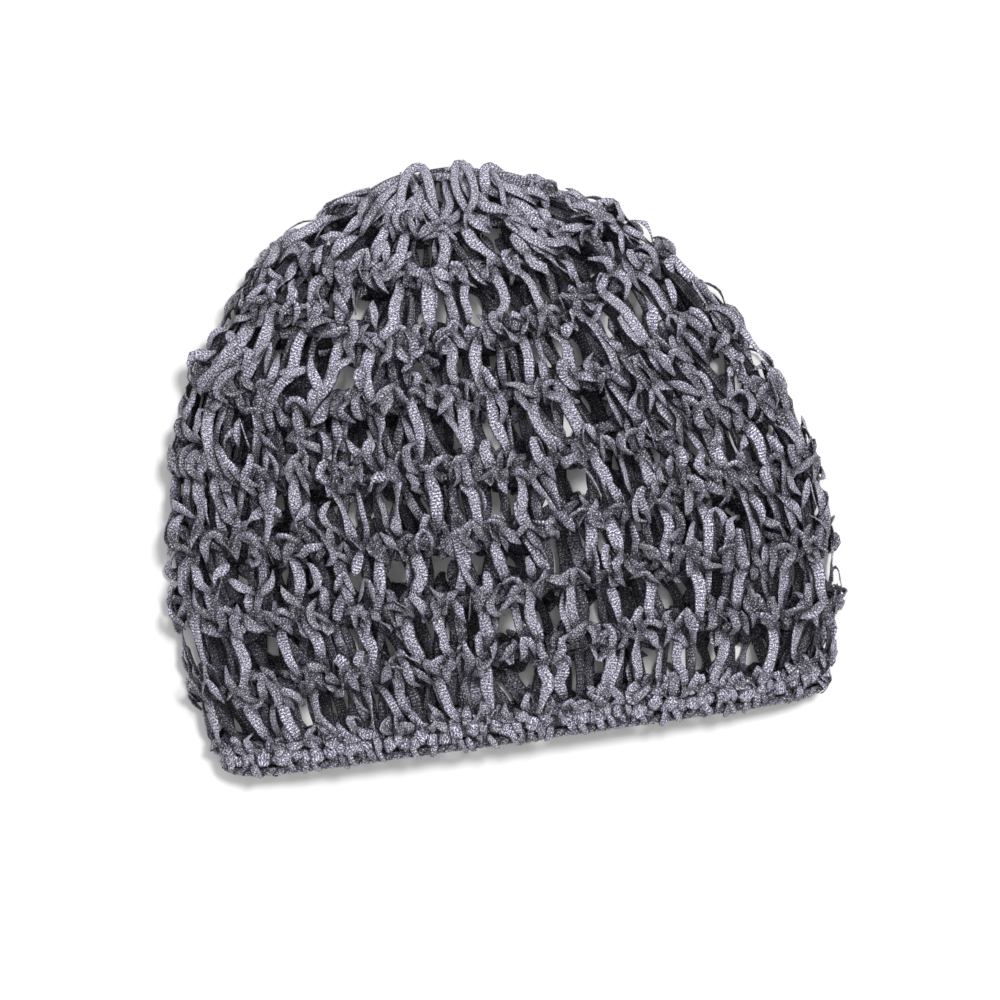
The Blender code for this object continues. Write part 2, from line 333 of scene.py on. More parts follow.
BACK_LEG = Family(8, 0.5, [
    [  # straight down behind the window's edge
        (0.38, -0.08, -1.4, 2.4, 0.0, 0.4),
        (0.36, 0.20, -2.0, 3.5, 0.2, 0.2),
        (0.34, 0.50, -2.2, 3.8, 0.1, 0.2),
        (0.32, 0.80, -2.0, 3.5, 0.0, 0.3),
        (0.28, 1.08, -1.4, 2.4, 0.0, 0.4),
    ],
    [  # slanting behind the post
        (0.26, -0.08, -1.4, 2.4, 0.0, 0.4),
        (0.16, 0.20, -1.8, 3.5, 0.2, 0.2),
        (-0.02, 0.50, -2.0, 3.8, 0.2, 0.2),
        (-0.20, 0.80, -2.0, 3.5, 0.0, 0.3),
        (-0.30, 1.08, -1.4, 2.4, 0.0, 0.4),
    ],
])
BACK_RUN = Family(8, 0.5, [
    [
        (-0.58, 0.94, -0.6, 2.0, 0.0, -0.3),
        (-0.30, 0.86, -2.4, 4.2, 0.2, -0.2),
        (0.00, 0.86, -3.0, 4.8, 0.2, -0.2),
        (0.30, 0.94, -2.4, 4.2, 0.0, -0.2),
        (0.56, 1.06, -0.6, 2.0, 0.0, -0.3),
    ],
    [
        (-0.50, 1.16, -0.6, 2.0, 0.0, -0.3),
        (-0.26, 1.12, -2.4, 4.2, 0.2, -0.2),
        (0.00, 1.02, -3.1, 4.6, 0.4, -0.2),
        (0.26, 0.88, -2.6, 4.2, 0.2, -0.2),
        (0.42, 0.76, -0.6, 2.0, 0.0, -0.3),
    ],
    [
        (-0.12, 0.78, -0.6, 2.0, 0.0, -0.3),
        (-0.18, 0.92, -2.7, 4.0, 0.2, -0.2),
        (-0.06, 1.08, -3.2, 4.4, 0.4, -0.2),
        (0.12, 1.18, -2.7, 4.0, 0.2, -0.2),
        (0.26, 1.22, -0.6, 2.0, 0.0, -0.3),
    ],
])

# The strands of a round's stitches: each one's family, and how far it is moved across, in stitches,
# and out, in mm, so that the strands lie over one another, and down, in rounds. share is how many of
# the stitches have it.
Layer = namedtuple("Layer", "family across raised down share", defaults=(0.0, 1.0))
ROUND_LAYERS = [
    Layer(BACK_RUN, 0.00, 0.0),
    Layer(BACK_RUN, 0.50, -0.6),
    Layer(BACK_LEG, 0.00, -0.2, share=0.9),
    Layer(BACK_LEG, 0.40, -1.0, share=0.6),
    Layer(LEG, 0.00, -0.4, share=0.55),
    Layer(POST, 0.00, 0.2),
    Layer(RUN, 0.00, -1.2),
    Layer(LINK, 0.10, 0.4),
    Layer(LINK, 0.42, 2.0),
    Layer(LINK, 0.62, 0.8),
    Layer(LINK, 0.85, 2.8),
    Layer(LOOP, 0.00, 1.6),
    Layer(TONGUE, 0.00, 1.4, share=0.6),
    Layer(ARCH, 0.00, 1.4),
]
# Towards the folds the stitches have slipped over one another, so more strands cross their posts.
SLIPPED_LAYERS = [
    Layer(LINK, 0.20, 1.6, -0.48),
    Layer(LINK, 0.72, 2.4, -0.42),
]
SLIPPED_ROUNDS = range(1, 7)
SLIPPED_FROM = 0.62       # how far from the cap's middle to a fold they begin

# The hem band's stitches. Here down is 0 at the band's top and 1 at the mouth's edge.
BAND_BLOCK = Family(9, 0.0, [
    [
        (-0.52, 0.34, -1.0, 3.0, 0.0, 0.4),
        (-0.38, 0.32, 2.0, 5.2, 0.1, 0.25),
        (-0.02, 0.33, 3.2, 5.8, 0.1, 0.2),
        (0.34, 0.35, 2.0, 5.2, 0.0, 0.25),
        (0.48, 0.38, -1.0, 3.0, 0.0, 0.4),
    ],
    [
        (-0.48, 0.22, -1.0, 3.0, 0.0, 0.4),
        (-0.35, 0.26, 2.0, 4.8, -0.1, 0.25),
        (0.00, 0.35, 3.2, 5.6, -0.1, 0.2),
        (0.33, 0.43, 2.0, 4.8, 0.0, 0.25),
        (0.46, 0.48, -1.0, 3.0, 0.0, 0.4),
    ],
    [
        (-0.42, 0.50, -1.0, 3.0, 0.0, 0.4),
        (-0.30, 0.42, 2.2, 4.8, 0.1, 0.25),
        (-0.02, 0.28, 3.5, 5.4, 0.2, 0.2),
        (0.25, 0.16, 2.2, 4.8, 0.1, 0.25),
        (0.36, 0.08, -1.0, 3.0, 0.0, 0.4),
    ],
])
BAND_TUCK = Family(9, 0.3, [
    [  # a narrower block between two others
        (0.14, 0.40, -1.0, 2.6, 0.0, 0.4),
        (0.27, 0.40, 1.8, 4.4, 0.0, 0.25),
        (0.50, 0.40, 2.6, 5.0, 0.0, 0.2),
        (0.73, 0.41, 1.8, 4.4, 0.0, 0.25),
        (0.86, 0.42, -1.0, 2.6, 0.0, 0.4),
    ],
    [  # a strand down from the last posts
        (0.44, -0.16, -1.4, 1.4, 0.0, 0.4),
        (0.46, 0.00, 2.2, 2.4, 0.0, 0.3),
        (0.50, 0.24, 4.0, 3.0, 0.1, 0.2),
        (0.52, 0.46, 2.8, 2.6, 0.0, 0.3),
        (0.52, 0.62, -0.8, 1.4, 0.0, 0.4),
    ],
])
BAND_TOP = Family(9, 0.5, [
    [
        (-0.60, 0.08, -0.8, 1.6, 0.0, 0.4),
        (-0.30, 0.02, 1.8, 3.2, 0.2, 0.25),
        (0.04, -0.02, 2.8, 3.6, 0.2, 0.2),
        (0.36, 0.04, 1.8, 3.2, 0.1, 0.25),
        (0.62, 0.12, -0.8, 1.6, 0.0, 0.4),
    ],
    [
        (-0.44, 0.22, -0.8, 1.6, 0.0, 0.4),
        (-0.24, 0.06, 2.2, 3.2, 0.2, 0.25),
        (0.04, -0.10, 3.2, 3.6, 0.2, 0.2),
        (0.30, -0.22, 1.8, 3.2, 0.1, 0.25),
        (0.48, -0.32, -0.8, 1.6, 0.0, 0.4),
    ],
])
BAND_INNER = Family(8, 0.5, [
    [
        (-0.60, 0.34, -0.6, 3.0, 0.0, -0.3),
        (-0.30, 0.30, -2.2, 4.8, 0.1, -0.2),
        (0.00, 0.34, -2.6, 5.2, 0.1, -0.2),
        (0.30, 0.38, -2.2, 4.8, 0.1, -0.2),
        (0.60, 0.34, -0.6, 3.0, 0.0, -0.3),
    ],
])
EDGE_TIE = Family(8, 0.35, [
    [  # slanting from the band down over the elastic
        (0.30, 0.46, 0.2, 1.8, 0.0, 0.3),
        (0.38, 0.58, 2.2, 2.6, 0.1, 0.3),
        (0.50, 0.74, 2.6, 2.8, 0.2, 0.3),
        (0.62, 0.88, 1.4, 2.4, 0.2, 0.3),
        (0.68, 0.95, -1.0, 1.6, 0.2, 0.4),
    ],
    [  # upright, half behind it
        (0.56, 0.46, 0.0, 2.4, 0.0, 0.3),
        (0.54, 0.56, 1.2, 3.0, 0.3, 0.3),
        (0.48, 0.68, 1.0, 3.2, 0.3, 0.3),
        (0.42, 0.78, 0.0, 3.0, 0.2, 0.3),
        (0.38, 0.86, -1.4, 2.4, 0.0, 0.4),
    ],
])
BAND_LAYERS = [
    Layer(BAND_INNER, 0.0, 0.0),
    Layer(BAND_TUCK, 0.0, 0.0),
    Layer(BAND_BLOCK, 0.0, 0.0),
    Layer(BAND_TOP, 0.0, 0.3),
]
EDGE_LAYERS = [
    Layer(EDGE_TIE, 0.0, 0.0),
    Layer(EDGE_TIE, 0.5, 0.4),
]
EDGE_CORD_DOWN = 0.785    # where the elastic lies
EDGE_TWIST_RADIUS = 1.15  # mm from the elastic's middle to each strand of the cord round it
EDGE_TURNS = 60
EDGE_STRANDS = 2
EDGE_WRAP_WIDTH = 2.6     # mm
EDGE_WRAP_THICKNESS = 0.9
EDGE_WRAP_CURL = 0.3      # radians
EDGE_WRAP_CREASE = 0.3
BAND_WIDENING = 1.7       # a hem stitch is narrow, but its ribbon is as wide as any other
BAND_PLAY = 0.6           # its strands stray less than the rounds' do, by this factor
BAND_CORE_DOWN = 0.3
BAND_SEED, EDGE_SEED = 50, 60

# The crown's strands lie over the top edge in three bumps, each an arch whose ends run down the upper
# layer, with deeper ones between them. A row is a knot: its x, y and z in mm from the origin, and its
# width and curl as in Knot.
CROWN_SAMPLES = 20
CROWN_STRANDS = [
    [  # the first bump, two strands that meet at the top
        (-21.0, 91.0, 17.0, 1.8, 0.5),
        (-19.8, 97.5, 22.0, 3.6, 0.4),
        (-17.3, 106.5, 19.0, 3.8, 0.4),
        (-13.7, 111.7, 13.5, 3.8, 0.4),
        (-9.8, 111.9, 13.5, 3.8, 0.4),
        (-8.0, 107.1, 19.5, 4.0, 0.4),
        (-7.2, 99.0, 23.0, 3.8, 0.4),
        (-5.6, 90.5, 18.0, 1.8, 0.5),
    ],
    [  # a third strand that comes out from under them
        (-14.5, 108.9, 9.0, 2.0, 0.5),
        (-13.6, 105.0, 15.5, 3.6, 0.4),
        (-10.9, 97.1, 20.5, 3.8, 0.4),
        (-7.1, 90.3, 24.0, 3.6, 0.4),
        (-2.6, 84.5, 20.0, 1.8, 0.5),
    ],
    [  # the second bump, a loop whose ends cross below
        (8.2, 87.0, 18.0, 1.8, 0.5),
        (4.4, 94.0, 23.5, 3.3, 0.4),
        (2.2, 101.5, 22.5, 3.5, 0.4),
        (2.7, 108.3, 18.0, 3.5, 0.4),
        (5.0, 111.8, 13.5, 3.6, 0.4),
        (8.0, 107.5, 19.0, 3.5, 0.4),
        (9.3, 99.8, 23.0, 3.5, 0.4),
        (7.6, 93.6, 25.0, 3.3, 0.4),
        (2.4, 88.5, 19.0, 1.8, 0.5),
    ],
    [  # the third bump, from a short wide end over the top and down along the edge
        (13.0, 95.0, 16.0, 1.8, 0.5),
        (13.6, 101.0, 21.0, 4.4, 0.3),
        (14.2, 106.9, 16.5, 4.2, 0.3),
        (17.0, 108.7, 12.5, 3.6, 0.4),
        (20.7, 105.0, 13.0, 3.6, 0.4),
        (24.8, 102.0, 14.0, 3.8, 0.4),
        (29.6, 98.8, 15.0, 3.6, 0.4),
        (36.0, 95.5, 12.0, 1.8, 0.5),
    ],
    [  # a thin strand down from it
        (16.4, 107.9, 11.0, 1.8, 0.5),
        (17.8, 104.4, 17.5, 2.6, 0.5),
        (19.4, 100.0, 20.5, 2.4, 0.5),
        (19.8, 93.5, 23.5, 2.4, 0.5),
        (20.4, 86.0, 19.0, 1.6, 0.5),
    ],
    [  # a low hump on the edge to its right
        (29.5, 90.5, 15.0, 1.8, 0.5),
        (31.6, 93.0, 18.0, 3.4, 0.4),
        (35.5, 94.6, 15.5, 3.6, 0.4),
        (39.2, 93.8, 14.0, 3.8, 0.4),
        (43.0, 91.2, 16.0, 3.6, 0.4),
        (46.5, 87.0, 14.0, 1.8, 0.5),
    ],
    [  # along the edge to the left of the bumps
        (-13.0, 107.9, 9.0, 1.8, 0.5),
        (-19.0, 108.3, 12.0, 4.0, 0.3),
        (-25.0, 106.1, 14.0, 4.2, 0.3),
        (-31.5, 102.4, 14.0, 4.2, 0.3),
        (-38.0, 99.2, 13.0, 3.8, 0.3),
        (-44.0, 95.5, 10.0, 1.8, 0.5),
    ],
    [  # and one that leaves it down the upper layer
        (-23.0, 105.0, 12.0, 1.8, 0.5),
        (-25.5, 102.4, 17.5, 3.6, 0.4),
        (-29.5, 98.0, 20.5, 3.8, 0.4),
        (-33.5, 93.0, 22.0, 3.4, 0.4),
        (-37.0, 88.0, 18.0, 1.8, 0.5),
    ],
    [  # deep between the first two bumps
        (-9.0, 107.9, 8.0, 1.8, 0.5),
        (-6.0, 107.7, 12.0, 3.4, 0.4),
        (-1.5, 106.9, 14.0, 3.8, 0.4),
        (3.0, 106.3, 13.0, 3.4, 0.4),
        (6.0, 106.1, 9.0, 1.8, 0.5),
    ],
    [  # deep between the last two
        (7.0, 106.9, 9.0, 1.8, 0.5),
        (10.5, 104.0, 15.0, 3.4, 0.4),
        (14.0, 100.0, 18.5, 3.6, 0.4),
        (18.0, 96.6, 20.0, 3.2, 0.4),
        (22.0, 93.5, 16.0, 1.8, 0.5),
    ],
    [  # low along the edge on the left
        (-12.0, 109.4, 8.0, 2.0, 0.3),
        (-18.0, 109.3, 8.0, 3.8, 0.3),
        (-25.5, 107.1, 8.5, 4.4, 0.3),
        (-33.0, 103.4, 9.0, 4.4, 0.3),
        (-41.0, 99.6, 9.5, 2.0, 0.3),
    ],
    [  # and on the right
        (16.0, 107.4, 8.0, 2.0, 0.3),
        (22.5, 104.6, 8.0, 3.8, 0.3),
        (30.0, 101.0, 8.5, 4.4, 0.3),
        (37.5, 97.2, 9.0, 4.4, 0.3),
        (45.0, 92.6, 9.5, 2.0, 0.3),
    ],
    [  # behind them all, round the top edge
        (-19.0, 102.0, 6.0, 3.0, 0.4),
        (-11.0, 108.5, 7.0, 4.0, 0.3),
        (-3.0, 109.5, 7.5, 4.2, 0.3),
        (5.0, 108.9, 7.5, 4.2, 0.3),
        (13.0, 106.5, 7.0, 4.0, 0.3),
        (22.0, 99.5, 6.0, 3.0, 0.4),
    ],
]

SECTION_POINTS = 6        # round every strand
FACE_AT = 0.58            # how far along a strand its face is set to look outwards
CREASES = (0.1, 0.8)      # how deeply a ribbon is thinned along its middle, from strand to strand
MOST_CURL = 0.8           # radians
NARROWEST = 0.5           # mm, where a strand's end is drawn to a point
HALF_WIDTH_ON_MAP = 0.003
MAP_SLIDE = 0.7           # m, the farthest that a strand's map is moved on, so that no two look alike

FULL_STITCH = 0.0150      # a stitch as wide as this has its ribbon at full width
STITCH_SHARES = (0.3, 1.15)     # of it, between which the ribbon narrows or widens with the stitch
NARROWING_POWER = 0.6     # below 1, the ribbon narrows less than its stitch does
FULL_WIDTH = 6.0          # mm, the ribbon width that the knots are written for
PRESSED_BELOW = 0.010     # strands lower than this are pressed flatter on the table, and so wider
PRESSED_WIDENING = 0.35
TABLE_SOFTNESS = 1.2 * MM     # the height from which strands are flattened onto the table

CROWN_REACH = 0.5         # rounds from the crown above which the first posts are drawn together,
CROWN_DRAW = 0.4          # to this share of their length, under the crown's own strands
CROWN_ROUNDS = 2          # rounds over which the crown's strands lie

# The painted shade: each point is painted darker the further it lies below the strands round about, where
# real shade would fall among them, and brighter above them.
RELIEF_ROWS, RELIEF_COLUMNS = 200, 420    # of the grid on which the strands' relief is measured
INNER_SIDE = -WALL / 2 / MM
BURIED, OPEN = -2.4, 3.0  # mm below or above the strands round about, from dark to fully lit
HEM_DEPTH = 0.55          # the hem's close strands leave shallower gaps, by this factor

# Strands that run all round the cap, hidden inside a ridge, the band and the edge: how far out they
# lie, their width and their thickness, in mm.
Core = namedtuple("Core", "out width thickness")
RIDGE_CORE = Core(-0.6, 3.6, 2.4)
BAND_CORE = Core(-0.6, 4.4, 3.0)
ELASTIC_CORE = Core(0.0, 1.8, 1.6)
CORE_CURL = 0.05          # radians
EVEN_SHADE = 0.5          # a closed strand's, where others draw theirs by chance


def linear(hex_colour):
    """An sRGB hex colour as linear red, green, blue and alpha."""
    parts = [int(hex_colour[i:i + 2], 16) / 255 for i in (1, 3, 5)]
    return tuple(c / 12.92 if c <= 0.04045 else ((c + 0.055) / 1.055) ** 2.4 for c in parts) + (1.0,)


def unit(vectors):
    """Vectors scaled to length one."""
    return vectors / np.maximum(np.linalg.norm(vectors, axis=-1, keepdims=True), 1e-12)


def curve_weights(knots, samples):
    """A matrix that turns knots into samples of the Catmull-Rom curve through them."""
    at = np.linspace(0, knots - 1, samples)
    whole = np.minimum(at.astype(int), knots - 2)
    part = at - whole
    shares = [
        (-part + 2 * part**2 - part**3) / 2,
        (2 - 5 * part**2 + 3 * part**3) / 2,
        (part + 4 * part**2 - 3 * part**3) / 2,
        (part**3 - part**2) / 2,
    ]
    weights = np.zeros((samples, knots))
    for step, share in zip((-1, 0, 1, 2), shares):
        np.add.at(weights, (np.arange(samples), np.clip(whole + step, 0, knots - 1)), share)
    return weights


def ring_at(number):
    """The ring at a whole or broken number, on a Catmull-Rom curve through the rows of RINGS."""
    rows = np.array(RINGS)
    whole = int(np.clip(math.floor(number), 0, len(rows) - 2))
    part = number - whole
    before, start, end, after = (
        rows[int(np.clip(whole + step, 0, len(rows) - 1))] for step in (-1, 0, 1, 2)
    )
    return Ring(*(
        start * (2 * part**3 - 3 * part**2 + 1)
        + (end - before) / 2 * (part**3 - 2 * part**2 + part)
        + end * (3 * part**2 - 2 * part**3)
        + (after - start) / 2 * (part**3 - part**2)
    ))


FIRST_ROW, LAST_ROW = -0.3, ROUNDS + 1.1      # the grids over the cap reach a little past its ends
WIDEST = [ring_at(number) for number in np.linspace(0, ROUNDS, 8 * ROUNDS + 1)]
MIDDLE_X = (min(ring.left_x for ring in WIDEST) + max(ring.right_x for ring in WIDEST)) / 2


def blended(table, numbers, shares):
    """What a grid over the cap holds at these places, from its four nearest corners."""
    rows, columns = table.shape[:2]
    row = np.clip((numbers - FIRST_ROW) / (LAST_ROW - FIRST_ROW) * (rows - 1), 0, rows - 1.001)
    column = np.mod(shares, 1) * columns
    top, left = row.astype(int), column.astype(int)
    fall, slide = (row - top)[..., None], (column - left)[..., None]
    left, right = left % columns, (left + 1) % columns
    return (
        table[top, left] * (1 - fall) * (1 - slide)
        + table[top, right] * (1 - fall) * slide
        + table[top + 1, left] * fall * (1 - slide)
        + table[top + 1, right] * fall * slide
    )


class CapSurface:
    """The middle of the cap's wall, with the directions across, down and out of it at each place.

    Places are (number, share). A number counts rounds from the crown, and past the last round it
    counts the hem band. A share counts from the left fold over the upper layer, once round.
    """

    def __init__(self, rows=280, columns=1440):
        self.numbers = numbers = np.linspace(FIRST_ROW, LAST_ROW, rows)
        line = math.pi - np.linspace(0, 2 * math.pi, columns + 1)
        shares = np.arange(columns) / columns
        grid = np.empty((rows, columns, 3))
        self.lengths = np.empty(rows)
        for row, number in enumerate(numbers):
            trial = self.skin(number, line)
            along = np.concatenate([[0], np.cumsum(np.linalg.norm(np.diff(trial, axis=0), axis=1))])
            grid[row] = self.skin(number, np.interp(shares, along / along[-1], line))
            self.lengths[row] = along[-1]
        across = np.roll(grid, -1, axis=1) - np.roll(grid, 1, axis=1)
        down = np.gradient(grid, numbers, axis=0)
        self.paces = np.linalg.norm(down, axis=2).mean(axis=1)
        out = unit(np.cross(down, across))
        grid = grid - out * WALL / 2
        self.table = np.concatenate([grid, unit(across), unit(down), out], axis=2)

    @staticmethod
    def skin(number, angles):
        """Points of one ring's outer side: 0 is the right fold, a quarter turn is the crest."""
        ring = ring_at(min(number, ROUNDS))
        turn = np.cos(angles)
        x = (ring.right_x + ring.left_x) / 2 + (ring.right_x - ring.left_x) / 2 * turn
        fold_y = (ring.right_y + ring.left_y) / 2 + (ring.right_y - ring.left_y) / 2 * turn
        y = ring.middle_y + (fold_y - ring.middle_y) * np.abs(turn) ** SAG_POWER
        foot = np.clip(-np.sin(angles) / FOOT_SINE, 0, 1)
        above = (ring.crest_z - ring.fold_z) * np.clip(np.sin(angles), 0, 1) ** CREST_POWER
        below = ring.fold_z * np.sqrt(1 - (1 - foot) ** 2)
        y = y - CAP_LENGTH / 2 - max(number - ROUNDS, 0) * BAND_HEIGHT
        y = y + CORNER_LIFT * min(max(number - ROUNDS + 1, 0), 1) * np.abs(turn) ** CORNER_POWER
        return np.stack([x - MIDDLE_X, y, ring.fold_z + above - below], axis=-1)

    def at(self, numbers, shares):
        """Middle point, across, down and out at these places."""
        point, across, down, out = np.split(blended(self.table, numbers, shares), 4, axis=-1)
        return point, unit(across), unit(down), unit(out)

    def length(self, numbers):
        """How long the ring is at these numbers."""
        return np.interp(numbers, self.numbers, self.lengths)

    def pace(self, numbers):
        """How far it is down the wall from one number to the next, at these numbers."""
        return np.interp(numbers, self.numbers, self.paces)


SURFACE = CapSurface()


def carried_side(tangents, outward, start):
    """The ribbon's width direction along every strand: set square to outward at the start sample, and
    from there carried both ways with the least turning."""
    side = np.cross(outward, tangents)
    ahead = range(start + 1, side.shape[1])
    back = range(start - 1, -1, -1)
    for samples, before in ((ahead, -1), (back, 1)):
        for sample in samples:
            known = side[:, sample + before]
            along = tangents[:, sample]
            side[:, sample] = known - along * (known * along).sum(axis=1, keepdims=True)
    return unit(side)


def ribbon_mesh(line, tangents, side, width, curl, crease, thickness, closed=False):
    """Carries a flat ribbon section along many lines at once.

    line, tangents and side are (strands, samples, 3), width, curl and crease (strands, samples). The
    section is a flat rounded loop, thinned by the crease along its middle. It is wrapped on an arc
    of curl radians to each side, so that its edges bend away from the face. Returns points, quads and
    map coordinates in metres, along the width and along the strand.
    """
    strands, samples, _ = line.shape
    face = np.cross(tangents, side)
    turn = 2 * math.pi * np.arange(SECTION_POINTS) / SECTION_POINTS
    flat = np.sign(np.cos(turn)) * np.abs(np.cos(turn)) ** 0.7
    flat[np.abs(flat) < 0.001] = 0
    profile = np.sign(np.sin(turn)) * np.abs(np.sin(turn)) ** 0.5
    thick = profile * thickness / 2 * (1 - crease[..., None] * (1 - np.abs(flat)))
    bend = curl[..., None] * flat
    reach = width[..., None] / 2
    out_side = reach * flat * np.sinc(bend / math.pi) + thick * np.sin(bend)
    out_face = thick * np.cos(bend) - reach * flat * bend / 2 * np.sinc(bend / 2 / math.pi) ** 2
    points = line[:, :, None] + side[:, :, None] * out_side[..., None]
    points = points + face[:, :, None] * out_face[..., None]
    steps = samples if closed else samples - 1
    i, k, j = np.meshgrid(np.arange(strands), np.arange(steps), np.arange(SECTION_POINTS), indexing="ij")
    here = (i * samples + k) * SECTION_POINTS
    ahead = (i * samples + (k + 1) % samples) * SECTION_POINTS
    beside = (j + 1) % SECTION_POINTS
    quads = np.stack([here + j, here + beside, ahead + beside, ahead + j], axis=-1).reshape(-1, 4)
    if not closed:
        half = np.arange(SECTION_POINTS // 2 - 1)
        lid = np.stack([half, half + 1, SECTION_POINTS - 2 - half, SECTION_POINTS - 1 - half], axis=1)
        first = (np.arange(strands) * samples * SECTION_POINTS)[:, None, None]
        last = first + (samples - 1) * SECTION_POINTS
        quads = np.concatenate([quads, (first + lid[:, ::-1]).reshape(-1, 4), (last + lid).reshape(-1, 4)])
    gaps = np.linalg.norm(np.diff(line, axis=1), axis=2)
    along = np.concatenate([np.zeros((strands, 1)), np.cumsum(gaps, axis=1)], axis=1)
    u = np.broadcast_to(flat * HALF_WIDTH_ON_MAP, points.shape[:3])
    v = np.broadcast_to(along[..., None], points.shape[:3])
    return points.reshape(-1, 3), quads, np.stack([u, v], axis=-1).reshape(-1, 2)


def rest_on_table(points):
    """Points that would sink below the table are flattened onto it, and never quite reach it."""
    height = points[:, 2]
    flattened = TABLE_SOFTNESS * np.exp(np.minimum(height - TABLE_SOFTNESS, 0) / TABLE_SOFTNESS)
    points[:, 2] = np.where(height < TABLE_SOFTNESS, flattened, height)
    return points


# Strands of one kind: their points, faces and map, each point's shade, which it shares with its
# strand, and each point's own place: its number and share, and its height off the wall in mm.
Strands = namedtuple("Strands", "points quads uv shade places")


def strands_along(line, tangents, side, section, numbers, shares, shade, closed=False):
    """The strands that ribbon_mesh makes along lines that pass these numbers and shares. A point's own
    place is worked out from how far it is across, down and out of the wall's middle there."""
    points, quads, uv = ribbon_mesh(line, tangents, side, *section, closed)
    middle, *ways = SURFACE.at(numbers, shares)
    off = points.reshape(line.shape[:2] + (SECTION_POINTS, 3)) - middle[..., None, :]
    across, down, out = ((off * way[..., None, :]).sum(axis=-1) for way in ways)
    places = np.stack([
        numbers[..., None] + down / SURFACE.pace(numbers)[..., None],
        shares[..., None] + across / SURFACE.length(numbers)[..., None],
        out / MM,
    ], axis=-1).reshape(-1, 3)
    shade = np.repeat(np.broadcast_to(shade, len(line)), line.shape[1] * SECTION_POINTS)
    if not closed:
        uv[:, 1] += shade * MAP_SLIDE
    return Strands(rest_on_table(points), quads, uv, shade, places)


# The stitches of a round: their middles as shares of the ring, how far each one's post leans at its
# top, in stitches, how far its foot drops with all that lies round it, in rounds, one stitch as a share of
# the ring, the number of the ridge above, and how the places between the ridges stray.
Stitches = namedtuple("Stitches", "homes leans drops pitch first wander")


def some_of(stitches, chosen):
    """Only the chosen ones of these stitches."""
    return stitches._replace(
        homes=stitches.homes[chosen], leans=stitches.leans[chosen], drops=stitches.drops[chosen]
    )


def lay_strands(layer, stitches, rng, ribbon, widening=1.0, play=1.0):
    """One strand for each of the stitches that have this layer: its knots stray by chance, a smooth
    line is drawn through them on the wall, and the ribbon is carried along it."""
    family = layer.family
    stitches = some_of(stitches, rng.uniform(size=len(stitches.homes)) < layer.share)
    count, knots = len(stitches.homes), len(family.forms[0])
    table = np.array(family.forms)[rng.integers(len(family.forms), size=count)]
    mirror = np.where(rng.uniform(size=count) < family.turned, -1, 1)[:, None]
    table[:, :, Knot._fields.index("across")] *= mirror
    table[:, :, Knot._fields.index("roll")] *= mirror
    play = play * ribbon.unevenness
    table = table + play * rng.normal(size=(count, knots, len(KNOT_PLAY))) * KNOT_PLAY
    table = table + play * rng.normal(size=(count, 1, len(STRAND_PLAY))) * STRAND_PLAY
    path = np.einsum("sk,ckf->csf", curve_weights(knots, family.samples), table)
    across, down, out, width, roll, curl = np.moveaxis(path, 2, 0)
    down = down + layer.down
    hang = np.clip(1 - down, 0, 1)
    shares = across + layer.across + stitches.leans[:, None] * hang
    shares = stitches.homes[:, None] + shares * stitches.pitch
    numbers = stitches.first + down + stitches.drops[:, None] * (1 - hang) + stitches.wander(shares, hang)
    drawn = CROWN_REACH + (numbers - CROWN_REACH) * CROWN_DRAW
    numbers = np.where(numbers < CROWN_REACH, drawn, numbers)
    snug = np.clip(SURFACE.length(numbers) * stitches.pitch / FULL_STITCH, *STITCH_SHARES)
    snug = snug ** NARROWING_POWER * widening
    middle, _, _, outward = SURFACE.at(numbers, shares)
    line = middle + outward * ((out + layer.raised) * MM * np.minimum(snug, 1))[..., None]
    tangents = unit(np.gradient(line, axis=1))
    side = carried_side(tangents, outward, int(family.samples * FACE_AT))
    side = side * np.cos(roll)[..., None] + np.cross(tangents, side) * np.sin(roll)[..., None]
    pressed = np.clip(1 - line[..., 2] / PRESSED_BELOW, 0, 1)
    width = np.maximum(width, NARROWEST) * MM * snug * ribbon.width / FULL_WIDTH
    width = width * (1 + PRESSED_WIDENING * pressed)
    crease = np.broadcast_to(rng.uniform(*CREASES, size=(count, 1)), width.shape)
    section = (width, np.clip(curl, -MOST_CURL, MOST_CURL), crease, ribbon.thickness * MM)
    return strands_along(line, tangents, side, section, numbers, shares, rng.uniform(size=count))


def lay_core(number, core, wander, samples=360):
    """A closed strand round the whole cap, inside a ridge, the band or the edge."""
    shares = np.arange(samples)[None] / samples
    numbers = number + wander(shares, np.zeros_like(shares))
    middle, _, below, outward = SURFACE.at(numbers, shares)
    line = middle + outward * core.out * MM
    tangents = unit(np.roll(line, -1, axis=1) - np.roll(line, 1, axis=1))
    side = unit(tangents * (below * tangents).sum(axis=2, keepdims=True) - below)
    same = np.ones_like(shares)
    section = (same * core.width * MM, same * CORE_CURL, same * 0, core.thickness * MM)
    return strands_along(line, tangents, side, section, numbers, shares, EVEN_SHADE, closed=True)


def lay_edge_cord(samples=1200):
    """Strands wound as a helix round the elastic: each goes round its line in the plane of the wall's
    downhill and outward directions."""
    starts = np.arange(EDGE_STRANDS)[:, None] / EDGE_STRANDS
    shares = np.arange(samples) / samples + 0 * starts
    numbers = np.full_like(shares, ROUNDS + EDGE_CORD_DOWN)
    middle, _, below, outward = SURFACE.at(numbers, shares)
    turn = 2 * math.pi * (EDGE_TURNS * shares + starts)[..., None]
    radial = below * np.cos(turn) + outward * np.sin(turn)
    line = middle + radial * EDGE_TWIST_RADIUS * MM
    tangents = unit(np.roll(line, -1, axis=1) - np.roll(line, 1, axis=1))
    same = np.ones_like(shares)
    section = (same * EDGE_WRAP_WIDTH * MM, same * EDGE_WRAP_CURL, same * EDGE_WRAP_CREASE,
               EDGE_WRAP_THICKNESS * MM)
    side = unit(np.cross(radial, tangents))
    return strands_along(line, tangents, side, section, numbers, shares, EVEN_SHADE, closed=True)


